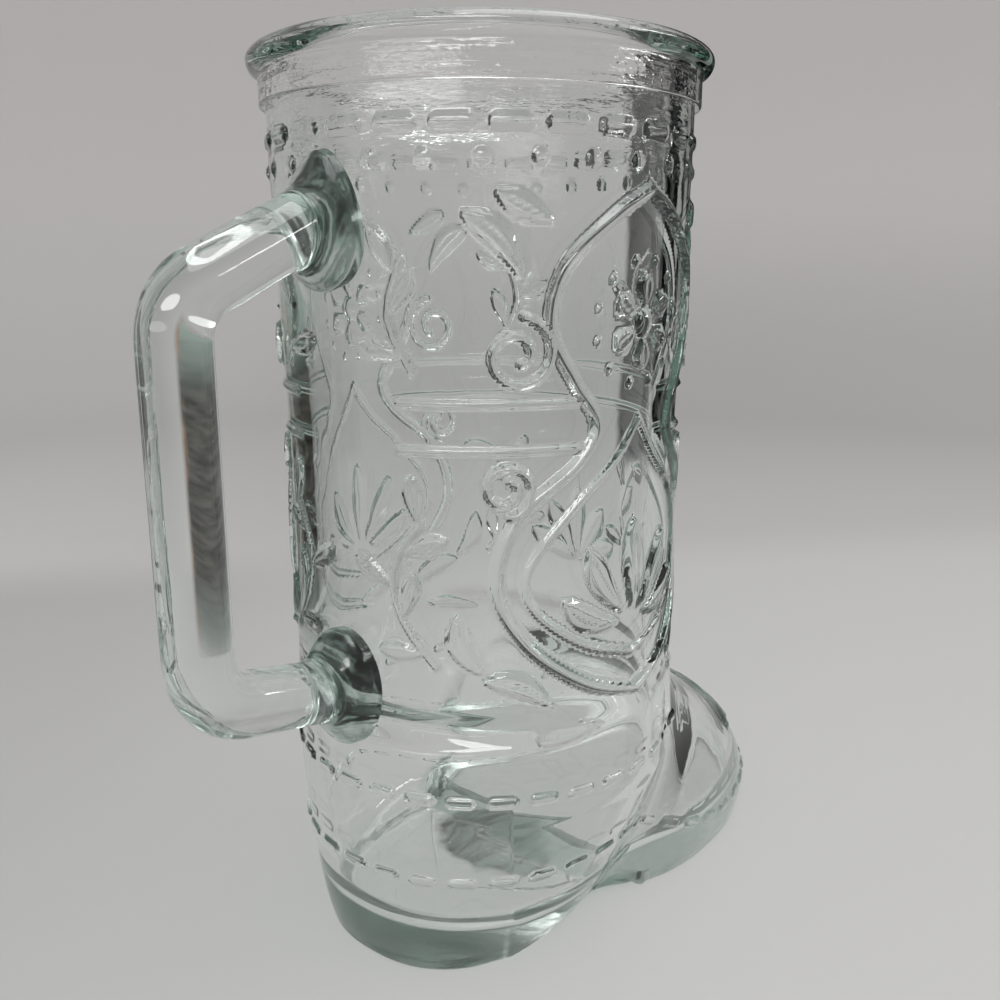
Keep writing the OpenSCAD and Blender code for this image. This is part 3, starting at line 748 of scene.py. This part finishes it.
leg_outer = outer[foot_count - 1:].copy()
leg_outer[0, :, 2] += joint_gap
leg_inner = inner_leg(np.linspace(leg_top_z, ankle_z, 15))
leg_inner[-1, :, 2] += joint_gap
glass_piece(
    "leg",
    [(leg_outer, outer_facing[foot_count - 1:], under_pads(leg_outer)),
     annulus(leg_outer[-1], leg_inner[0], 1),
     (leg_inner, None, 0.0),
     annulus(leg_inner[-1], leg_outer[0], -1)],
    None, wall_glass, "wall_glass",
    "rim_stitches", "rim_dots", "right_flame", "left_flame", "right_inner_flame",
    "left_inner_flame", "right_curls", "left_curls", "right_rosette", "left_rosette",
    "right_leaves", "left_leaves", "right_branches", "left_branches", "front_leaves",
    "right_strap", "left_strap")


# Foot
# The hollow of heel, waist and forefoot. Its inner floor lies a little above the sole and humps at
# the waist, where the glass is thickest.
floor_z = 7.0
floor_round = 6.5
inner_crease_r = 7.0
hump_h = 1.6
hump_x = 4
hump_half_len = 8
hump_half_w = 15


def inner_r(z):
    level = boot_r(angles[None, :], z[:, None], inner_crease_r) - wall
    upright = boot_r(angles[None, :], z[:, None] + wall, inner_crease_r)
    soft = 4.0
    radius = np.minimum(level, upright) - np.maximum(soft - np.abs(level - upright), 0) ** 2 / (4 * soft)
    rise = np.clip(z[:, None] - floor_z, 0, floor_round)
    return radius - (floor_round - np.sqrt(floor_round**2 - (floor_round - rise) ** 2))


def floor_height(x, y, share):
    hump = np.exp(-(((x - hump_x) / hump_half_len) ** 2) - (y / hump_half_w) ** 2)
    return floor_z + hump_h * hump * (1 - share**2) ** 2


def shrunk(ring, share, z):
    middle = np.array([middle_x(0.0), 0, 0])
    points = middle + (ring - middle) * np.asarray(share)[:, None, None]
    points[..., 2] = z
    return points


cap_shares = np.array([0.15, 0.5, 0.85, 1])
foot_glass = glass("clear foot glass", (0.79, 0.87, 0.84, 1), 28.0,
                   lambda place: noise(place, (9, 9, 14)), 0.05)
foot_outer = outer[:foot_count].copy()
foot_cap = shrunk(foot_outer[0], cap_shares, sole_top_z)
inner_levels = np.concatenate(
    [np.linspace(ankle_z, 14, 23), floor_z + floor_round * (1 - np.sin(np.linspace(0, math.pi / 2, 9)))])
foot_inner = ring_points(inner_r(inner_levels), angles[None, :], inner_levels[:, None])
floor_shares = np.linspace(1, 0.03, 16)
floor_rings = shrunk(foot_inner[-1], floor_shares, floor_z)
floor_rings[..., 2] = floor_height(floor_rings[..., 0], floor_rings[..., 1], floor_shares[:, None])
foot_inner = np.concatenate([foot_inner, floor_rings[1:]])
floor_middle = np.array([middle_x(0.0), 0, floor_height(middle_x(0.0), 0, 0)])
foot_outer[-1, :, 2] -= joint_gap
foot_inner[0, :, 2] -= joint_gap
glass_piece(
    "foot",
    [(foot_cap, np.broadcast_to([0.0, 0.0, -1.0], foot_cap.shape), 1.0),
     (foot_outer, outer_facing[:foot_count], 0.0),
     annulus(foot_outer[-1], foot_inner[0], 1),
     (foot_inner, None, 0.0)],
    [np.array([middle_x(0.0), 0, sole_top_z]), floor_middle], foot_glass, "wall_glass",
    "vamp_stitches", "welt_stitches", "toe_cap_line", "toe_bars")


# Rim
# A plain band steps out from the leg, and the lip above it is a thick round bead that the fire
# polish has softened.
band_top_z = box_mm("rim_bead")[0][2]
lip_z = box_mm("rim_bead")[1][2]
band_r = box_mm("rim_band")[1][0]
bead_r = box_mm("rim_bead")[1][0]
bore_r = leg_top_r - wall


def arc(x, z, rx, rz, start, end, parts):
    turn = np.radians(np.linspace(start, end, parts))
    return np.stack([x + rx * np.cos(turn), z + rz * np.sin(turn)], -1)


def revolved(profile):
    return np.stack([profile[:, 0, None] * np.cos(angles), profile[:, 0, None] * np.sin(angles),
                     np.repeat(profile[:, 1, None], columns, 1)], -1)


def revolved_facing(profile):
    run = np.gradient(profile, axis=0)
    out = np.stack([run[:, 1], -run[:, 0]], -1)
    out /= np.linalg.norm(out, axis=1, keepdims=True)
    return np.stack([out[:, 0, None] * np.cos(angles), out[:, 0, None] * np.sin(angles),
                     np.repeat(out[:, 1, None], columns, 1)], -1)


rim_glass = glass("drawn rim glass", (0.82, 0.88, 0.86, 1), 10.0,
                  lambda place: noise(place, (30, 30, 1.2)), 0.07)
band_glass = glass("wavy band glass", (0.8, 0.88, 0.85, 1), 16.0,
                   lambda place: noise(place, (18, 18, 1.2)) + 0.5 * noise(place, (2.0, 2.0, 1.0)), 0.17)
step_r = 0.45
band_outer = np.concatenate([
    np.linspace((leg_top_r, leg_top_z), (band_r - step_r, leg_top_z), 4),
    arc(band_r - step_r, leg_top_z + step_r, step_r, step_r, -90, 0, 6)[1:],
    np.linspace((band_r, leg_top_z + 2 * step_r), (band_r, band_top_z - joint_gap), 10)])
band_inner = np.linspace((bore_r, band_top_z - joint_gap), (bore_r, leg_top_z), 6)
band_outer[0, 1] = leg_top_z + joint_gap
band_inner[-1, 1] = leg_top_z + joint_gap
rings_out = revolved(band_outer)
rings_in = revolved(band_inner)
glass_piece(
    "rim_band",
    [(rings_out, revolved_facing(band_outer), 0.0),
     annulus(rings_out[-1], rings_in[0], 1),
     (rings_in, revolved_facing(band_inner), 0.0),
     annulus(rings_in[-1], rings_out[0], -1)],
    None, band_glass, "wall_glass")

bead_middle_r = mix(bore_r, bead_r, 0.48)
bead_wide_z = lip_z - 2.1
under_r = 1.7
bead_outer = np.concatenate([
    np.linspace((band_r, band_top_z), (band_r, band_top_z + 0.1), 3),
    arc(bead_r - under_r, bead_wide_z, under_r, bead_wide_z - band_top_z - 0.15, -84, 0, 16),
    arc(bead_middle_r, bead_wide_z, bead_r - bead_middle_r, lip_z - bead_wide_z, 0, 90, 20)[1:],
    arc(bead_middle_r, lip_z - 3.0, bead_middle_r - bore_r, 3.0, 90, 180, 20)[1:],
    np.linspace((bore_r, lip_z - 3.1), (bore_r, band_top_z), 4)])
rings = revolved(bead_outer)
glass_piece(
    "rim_bead",
    [(rings, revolved_facing(bead_outer), 0.0), annulus(rings[-1], rings[0], -1)],
    None, rim_glass, "wall_glass")


# Sole
# Heel, shank and forefoot stand on thick solid slabs with rounded edges. The shank is raised off the
# table, and the mould leaves a fine stipple on the slabs. Their sides carry painted shade, and round the
# waist a painted shade of the gap under the shank shows through the green glass.
waist_spot = (6 * MM, 2 * MM, 0)
waist_spot_half = (10 * MM, 14 * MM, 1)


def waist_gap_shade(place, ground):
    """The glass is thickest and green at the waist. Over that, a streaked tint of painted shade stands in
    for the shaded gap under the raised shank, and it is darkest on the far side.
    """
    away = place.add("ShaderNodeVectorMath", {"operation": "SUBTRACT"}, {0: place, 1: waist_spot})
    away = away.add("ShaderNodeVectorMath", {"operation": "DIVIDE"}, {0: away, 1: waist_spot_half})
    out = away.add("ShaderNodeVectorMath", {"operation": "LENGTH"}, {0: away}, "Value")
    streak = noise(place, (12, 2.4, 3), 3.0).soft_step(0.4, 0.6)
    far = place.part("Y").soft_step(-6 * MM, 8 * MM)
    dark = place.blend(far, (0.1, 0.14, 0.12, 1), (0.004, 0.008, 0.005, 1))
    pale = place.blend(far, (0.26, 0.34, 0.3, 1), (0.1, 0.14, 0.12, 1))
    uneven = out + 0.8 * noise(place, (7, 7, 7))
    return place.blend(uneven.soft_step(1.5, 1.25), ground, place.blend(streak, dark, pale))


# Painted shade on the slabs: clouds of dark tint on their sides, darkest at the heel and paler on the
# forefoot, stand in for the little light that reaches the glass along the table. Their undersides carry the
# painted shade of the waist.
def sole_shade_mottle(place):
    side = place.part("Z").soft_step(0.3 * MM, 0.9 * MM)
    cloud = noise(place, (5.0, 5.0, 1.1), 3.0).soft_step(0.42, 0.58)
    forward = place.part("X").soft_step(2 * MM, 22 * MM)
    dark = place.blend(forward, (0.3, 0.36, 0.31, 1), (0.72, 0.78, 0.74, 1))
    mottled = place.blend(cloud, dark, (1, 1, 1, 1))
    return place.blend(side, waist_gap_shade(place, (1, 1, 1, 1)), mottled)


def sole_grain(place):
    return 0.06 + 0.16 * (1 - place.part("Z").soft_step(0.2 * MM, 0.5 * MM))


# The shank's tint: the painted shade of the gap under it, over a pale green.
def waist_gap_shade_tint(place):
    return waist_gap_shade(place, (0.7, 0.78, 0.74, 1))


sole_glass = glass("thick sole glass with painted shade", (0.64, 0.72, 0.68, 1), 15.0,
                   lambda place: noise(place, (6.0, 6.0, 1.4)), 0.16, sole_shade_mottle, sole_grain)
waist_glass = glass("green waist glass with painted shade", (0.5, 0.68, 0.6, 1), 90.0,
                    lambda place: noise(place, (3.0, 3.0, 1.0)), 0.08, waist_gap_shade_tint)
shank_rise = box_mm("shank")[0][2]
shank_back = box_mm("shank")[0][0]
shank_front = box_mm("shank")[1][0]
edge_r = 0.9
side_points = 130
end_points = 24


def sole_outline(z):
    turn = np.linspace(math.pi, 2 * math.pi, 721)
    return ring_points(boot_r(turn, np.full_like(turn, z)), turn, np.full_like(turn, z))


def slab_ring(z, shape_z, back, front, inset):
    line = sole_outline(shape_z)
    cut_back = back > -2 * heel_back
    cut_front = front < 2 * toe_reach
    low = back if cut_back else line[0, 0]
    high = front if cut_front else line[-1, 0]
    x = low + (high - low) * (0.5 - 0.5 * np.cos(np.linspace(0, math.pi, side_points)))
    y = np.interp(x, line[:, 0], line[:, 1])
    y_end = np.linspace(-1, 1, end_points)[1:-1]
    left = np.stack([x[::-1], -y[::-1]], -1)[0 if cut_front else 1:]
    outline = [np.stack([x, y], -1), left]
    if cut_front:
        outline.insert(1, np.stack([np.full(end_points - 2, high), -y[-1] * y_end], -1))
    if cut_back:
        outline.append(np.stack([np.full(end_points - 2, low), y[0] * y_end], -1))
    else:
        outline[-1] = outline[-1][:-1]
    outline = np.concatenate(outline)
    middle = np.array([(low + high) / 2, 0])
    span = np.array([(high - low) / 2, np.abs(y).max()])
    outline = middle + (outline - middle) * (1 - inset / span)
    if cut_back:
        outline[:, 0] = np.where(outline[:, 0] < low + 2 * edge_r, low, outline[:, 0])
    if cut_front:
        outline[:, 0] = np.where(outline[:, 0] > high - 2 * edge_r, high, outline[:, 0])
    return np.column_stack([outline, np.full(len(outline), z)])


def slab(name, back, front, low_z, material):
    levels = [(low_z, edge_r), (low_z + 0.18 * edge_r, 0.42 * edge_r),
              (low_z + 0.5 * edge_r, 0.13 * edge_r), (low_z + edge_r, 0)]
    if low_z < shank_rise:
        levels += [(shank_rise - 2 * joint_gap, 0), (shank_rise + 2 * joint_gap, 0)]
    levels += [(mix(levels[-1][0], sole_top_z, 0.5), 0), (sole_top_z - joint_gap, 0)]
    side = np.stack([slab_ring(z, z, back, front, inset) for z, inset in levels])
    middle = np.array([(side[0, :, 0].min() + side[0, :, 0].max()) / 2, 0, 0])
    under = middle + (side[0] - middle) * np.array([0.04, 0.35, 0.7, 1])[:, None, None]
    under[..., 2] = low_z
    top = middle + (side[-1] - middle) * np.array([1, 0.6, 0.2])[:, None, None]
    top[..., 2] = sole_top_z - joint_gap
    joined = np.zeros(side.shape[:2])
    for at in (shank_back, shank_front):
        if at in (back, front):
            joined[:, np.abs(side[-1, :, 0] - at) < 0.05] = 1
    joined[side[..., 2] < shank_rise] = 0
    glass_piece(
        name,
        [(under, np.broadcast_to([0.0, 0.0, -1.0], under.shape), 0.0), (side, None, joined),
         (top, np.broadcast_to([0.0, 0.0, 1.0], top.shape), 1.0)],
        [middle + [0, 0, low_z], middle + [0, 0, sole_top_z - joint_gap]],
        material, "thick_glass")


slab("heel", -2 * heel_back, shank_back - joint_gap, 0.0, sole_glass)
slab("shank", shank_back, shank_front, shank_rise, waist_glass)
slab("fore_sole", shank_front + joint_gap, 2 * toe_reach, 0.0, sole_glass)


# Handle
# A round bar, bent twice while hot and laid against the leg in two flared pads. A fine raised line
# from the mould's parting runs along the bar.
handle_glass = glass("thick handle glass", (0.66, 0.8, 0.75, 1), 20.0,
                     lambda place: noise(place, (9, 9, 16)), 0.02, None, lambda place: 0.03)
sides = 180
bar_angles = np.arange(sides) * 2 * math.pi / sides
grip_low, grip_high = box_mm("grip")
grip_r = (grip_high[1] - grip_low[1]) / 2
grip_x = (grip_low[0] + grip_high[0]) / 2
plane_x = box_mm("upper_arm")[1][0]
seam_line_h = 0.1
seam_line_turn = 0.09


def bar_r(angle):
    off = np.abs((angle + math.pi / 2) % math.pi - math.pi / 2)
    return grip_r - seam_line_h * (1 - np.exp(-((off / seam_line_turn) ** 2)))


def bar_rings():
    z = np.linspace(grip_low[2], grip_high[2], 60)
    radius = bar_r(bar_angles)
    points = np.stack(np.broadcast_arrays(grip_x + radius * np.cos(bar_angles),
                                          radius * np.sin(bar_angles), z[:, None]), -1)
    return points


def arm_rings(bend_r, bend_z, slope, up):
    turn = math.radians(90 - slope)
    bends = np.linspace(0, turn, 36)[:, None]
    radius = bar_r(bar_angles)
    away = bend_r + radius * np.cos(bar_angles)
    x = grip_x + bend_r - away * np.cos(bends)
    y = np.broadcast_to(-up * radius * np.sin(bar_angles), x.shape)
    z = away * np.sin(bends)
    out = np.stack(np.broadcast_arrays(-np.cos(bar_angles) * np.cos(bends),
                                       -up * np.sin(bar_angles),
                                       up * np.cos(bar_angles) * np.sin(bends)), -1)
    rings = np.stack([x, y, bend_z + up * z], -1)
    runs = np.linspace(0, 1, 30)[1:, None]
    x_run = x[-1] + (plane_x - x[-1]) * runs
    z_run = z[-1] + (x_run - x[-1]) * math.tan(math.radians(slope))
    straight = np.stack([x_run, np.broadcast_to(y[-1], x_run.shape), bend_z + up * z_run], -1)
    return (np.concatenate([rings, straight]),
            np.concatenate([out, np.broadcast_to(out[-1], straight.shape)]))


def closed_bar(name, rings, facings):
    first = rings[0].mean(0)
    last = rings[-1].mean(0)
    start = np.stack([mix(first, rings[0], 0.5), rings[0]])
    end = np.stack([rings[-1], mix(last, rings[-1], 0.5)])
    glass_piece(name, [(start, None, 1.0), (rings, facings, 0.0), (end, None, 1.0)],
                [first, last], handle_glass, "thick_glass")


bar = bar_rings()
bar[0, :, 2] += joint_gap
bar[-1, :, 2] -= joint_gap
closed_bar("grip", bar, None)
upper_bend_r = 9.0
lower_bend_r = 10.0
upper_slope = 24.0
lower_slope = 12.0
upper_rings, upper_out = arm_rings(upper_bend_r, grip_high[2], upper_slope, 1)
lower_rings, lower_out = arm_rings(lower_bend_r, grip_low[2], lower_slope, -1)
closed_bar("upper_arm", upper_rings, upper_out)
closed_bar("lower_arm", lower_rings, lower_out)


def mottled(place):
    cloud = noise(place, (2.6, 2.6, 3.4), 4.0).soft_step(0.36, 0.62)
    upper = place.part("Z").soft_step(0.06, 0.1)
    dark = place.blend(upper, (0.2, 0.29, 0.24, 1), (0.44, 0.57, 0.51, 1))
    pale = place.blend(upper, (0.7, 0.82, 0.77, 1), (0.95, 1, 0.98, 1))
    return place.blend(cloud, dark, pale)


pad_glass = glass("mottled pad glass", (0.5, 0.72, 0.65, 1), 24.0,
                  lambda place: noise(place, (3.2, 3.2, 3.2)), 0.12, mottled, lambda place: 0.14)
pad_outs = np.linspace(0, 1, 34)
pad_shares = np.stack([1 - ease((pad_outs - 0.2) / 0.75), pad_outs], -1)


def pad(name, arm_end, slope):
    z_wall = pad_middle_z(name)
    z_arm = arm_end.mean(0)[2]
    turn = -bar_angles

    def ring(half_y, half_z, z0, out, egg):
        y = half_y * np.cos(turn) * egg_w(egg, np.sin(turn))
        z = z0 + half_z * np.sin(turn)
        wall_x = np.sqrt(leg_r(z) ** 2 - y**2) + joint_gap
        return np.stack([-mix(wall_x, -plane_x - joint_gap, out), y, z], -1)

    egg = pad_egg[name]
    back = np.stack([ring(q * pad_w / 2, q * pad_h / 2, z_wall, 0, egg) for q in (0.04, 0.3, 0.6, 0.85, 1)])
    front = np.stack([
        ring(mix(grip_r, pad_w / 2, size), mix(grip_r / math.cos(math.radians(slope)), pad_h / 2, size),
             mix(z_wall, z_arm, out), out, egg * size) for size, out in pad_shares])
    end = np.stack([front[-1], mix(front[-1].mean(0), front[-1], 0.5)])
    glass_piece(name, [(back, None, 1.0), (front, None, 0.0), (end, None, 1.0)],
                [back[0].mean(0), front[-1].mean(0)], pad_glass, "thick_glass")


pad("upper_pad", upper_rings[-1], upper_slope)
pad("lower_pad", lower_rings[-1], lower_slope)


# Stage
# The mug stands in the middle of a wide paper dish whose sides sweep up all round, under one large soft
# lamp and three smaller ones. The paper's tones are painted light and shade. The dark cards are hidden
# from the camera and cast no shadow: only the glass shows them, as its dark edges.
def stage_piece(name, vertices, faces, material):
    mesh = bpy.data.meshes.new(name)
    mesh.from_pydata([tuple(vertex) for vertex in vertices], [], faces)
    mesh.polygons.foreach_set("use_smooth", np.ones(len(faces), bool))
    mesh.materials.append(material)
    piece = bpy.data.objects.new(name, mesh)
    bpy.context.scene.collection.objects.link(piece)
    return piece


def matt(name, colour, shown=None):
    """A dull surface; colour and shown are functions from the place on it, and where shown is 0 the
    surface is clear."""
    material = bpy.data.materials.new(name)
    material.use_nodes = True
    tree = material.node_tree
    tree.nodes.clear()
    root = Wire(tree)
    place = root.add("ShaderNodeTexCoord", out="Object")
    surface = root.add("ShaderNodeBsdfDiffuse", None, {"Color": colour(place)})
    if shown:
        open_air = root.add("ShaderNodeBsdfTransparent", None, {"Color": (1, 1, 1, 1)})
        surface = root.add("ShaderNodeMixShader", None, {0: shown(place), 1: open_air, 2: surface})
    output = tree.nodes.new("ShaderNodeOutputMaterial")
    tree.links.new(surface.socket, output.inputs["Surface"])
    return material


# Painted light and shade on the paper, which is one even paper: a painted shade at the mug's left and beyond
# the fold, and painted light at the far left and up the sweep.
near_tone = (0.49, 0.488, 0.484, 1)
left_painted_shade = (0.415, 0.413, 0.41, 1)
left_fold_tone = (0.53, 0.525, 0.52, 1)
fold_tone = (0.455, 0.447, 0.442, 1)
sweep_painted_light = (0.57, 0.557, 0.55, 1)
fold_turn = camera_heading + math.radians(9)


# Blends the painted tones of the paper by place: left and right, near and beyond the fold, and height.
def paper_light_and_shade(place):
    away = place.along((math.cos(fold_turn), math.sin(fold_turn), 0))
    aside = place.along((-math.sin(camera_heading), math.cos(camera_heading), 0))
    near = place.blend(aside.soft_step(-0.02, 0.14), near_tone, left_painted_shade)
    far = place.blend(aside.soft_step(0.0, 0.3), fold_tone, left_fold_tone)
    flat = place.blend(away.soft_step(0.19, 0.26), near, far)
    return place.blend(place.part("Z").soft_step(0.02, 0.22), flat, sweep_painted_light)


def paper_dish():
    flat, bend, top = 0.65, 0.35, 1.1
    below_mug = 0.00005
    run = [(r, 0) for r in np.linspace(0.02, flat, 12)]
    run += [(flat + bend * math.sin(t), bend * (1 - math.cos(t)))
            for t in np.linspace(0, math.pi / 2, 16)[1:]]
    run += [(flat + bend, top)]
    n = 72
    vertices = [(r * math.cos(2 * math.pi * i / n), r * math.sin(2 * math.pi * i / n), z - below_mug)
                for r, z in run for i in range(n)]
    faces = [(k * n + i, (k + 1) * n + i, (k + 1) * n + (i + 1) % n, k * n + (i + 1) % n)
             for k in range(len(run) - 1) for i in range(n)]
    return vertices, [tuple(range(n)), *faces]


stage_piece("paper", *paper_dish(), matt("matt paper", paper_light_and_shade))


def card(name, start, end, tall, soft, colour, most_walls):
    """An upright card between two places on the table, with soft edges. It shows in a reflection and
    through that many faces of glass at most."""
    start, end = np.array([*start, 0]), np.array([*end, 0])
    wide = np.linalg.norm(end - start)
    along = (end - start) / wide
    from_start = float(start @ along)

    def shown(place):
        run = place.along(tuple(along))
        near_end = run.soft_step(from_start, from_start + soft)
        far_end = run.soft_step(from_start + wide, from_start + wide - soft)
        height = place.part("Z")
        top = height.soft_step(tall, tall - soft) * height.soft_step(0.0, soft)
        seen = most_walls + 0.5 > place.add("ShaderNodeLightPath", out="Transmission Depth")
        return near_end * far_end * top * seen

    up = np.array([0, 0, tall])
    sheet = stage_piece(name, [start, end, end + up, start + up], [(0, 1, 2, 3)], matt(name, colour, shown))
    sheet.visible_camera = False
    sheet.visible_diffuse = False
    sheet.visible_shadow = False


def smoky(place):
    height = place.part("Z")
    streaks = noise(place, (70, 70, 2.5), 3.0).soft_step(0.3, 0.75)
    dark = place.blend(streaks, (0.02, 0.018, 0.015, 1), (0.1, 0.095, 0.085, 1))
    body = place.blend(height.soft_step(0.04, 0.005), dark, (0.26, 0.29, 0.27, 1))
    body = place.blend(height.soft_step(0.085, 0.11), body, (0.27, 0.33, 0.3, 1))
    # Painted glint: an orange-brown band, in clouds, along the card's end towards +x and along its top shows
    # in the glass as a warm glint.
    edge = place.part("X").soft_step(0.008, 0.024).most(height.soft_step(0.114, 0.12))
    cloud = noise(place, (20, 20, 12), 3.0).soft_step(0.4, 0.68)
    return place.blend(edge * cloud, body, (0.34, 0.2, 0.13, 1))


def plain_dark(place):
    return 0.003, 0.003, 0.0035, 1


def aside_place(turn, away):
    azimuth = camera_heading + math.radians(turn)
    return away * math.cos(azimuth), away * math.sin(azimuth)


card_away = 0.42
card("smoky card", (0.034, 0.145), (-0.165, 0.155), 0.128, 0.018, smoky, 2)
for number, (start, end, tall) in enumerate([(-17.2, -37, 0.5), (-42, -72, 0.45)]):
    card(f"dark card {number + 1}", aside_place(start, card_away), aside_place(end, card_away),
         tall, 0.014, plain_dark, 8)


def soft_lamp(name, place, wide, tall, power):
    lamp = bpy.data.objects.new(name, bpy.data.lights.new(name, "AREA"))
    lamp.data.shape = "ELLIPSE"
    lamp.data.size = wide
    lamp.data.size_y = tall
    lamp.data.energy = power
    lamp.location = place
    lamp.visible_camera = False
    aim = Vector((0, 0, 0.08)) - Vector(place)
    lamp.rotation_euler = aim.to_track_quat("-Z", "Y").to_euler()
    bpy.context.scene.collection.objects.link(lamp)


soft_lamp("soft lamp", (0.12, -0.2, 1.0), 0.9, 0.7, 4.6)
soft_lamp("window", (-0.66, -0.4, 0.62), 0.7, 0.24, 4.1)
soft_lamp("strip lamp", (0.5, -0.62, 0.42), 0.5, 0.05, 1.0)
soft_lamp("low window", (-0.82, -0.1, 0.3), 0.8, 0.14, 0.7)

world = bpy.data.worlds.new("room")
bpy.context.scene.world = world
world.use_nodes = True
world.node_tree.nodes.clear()
root = Wire(world.node_tree)
plain = root.add("ShaderNodeBackground", None, {"Color": (0.5, 0.5, 0.5, 1), "Strength": 1.0})
output = world.node_tree.nodes.new("ShaderNodeOutputWorld")
world.node_tree.links.new(plain.socket, output.inputs["Surface"])

cycles = bpy.context.scene.cycles
cycles.max_bounces = 24
cycles.transmission_bounces = 24
cycles.glossy_bounces = 8
cycles.diffuse_bounces = 3
cycles.transparent_max_bounces = 64
cycles.caustics_reflective = False
cycles.caustics_refractive = False
bpy.context.scene.view_settings.view_transform = "Standard"
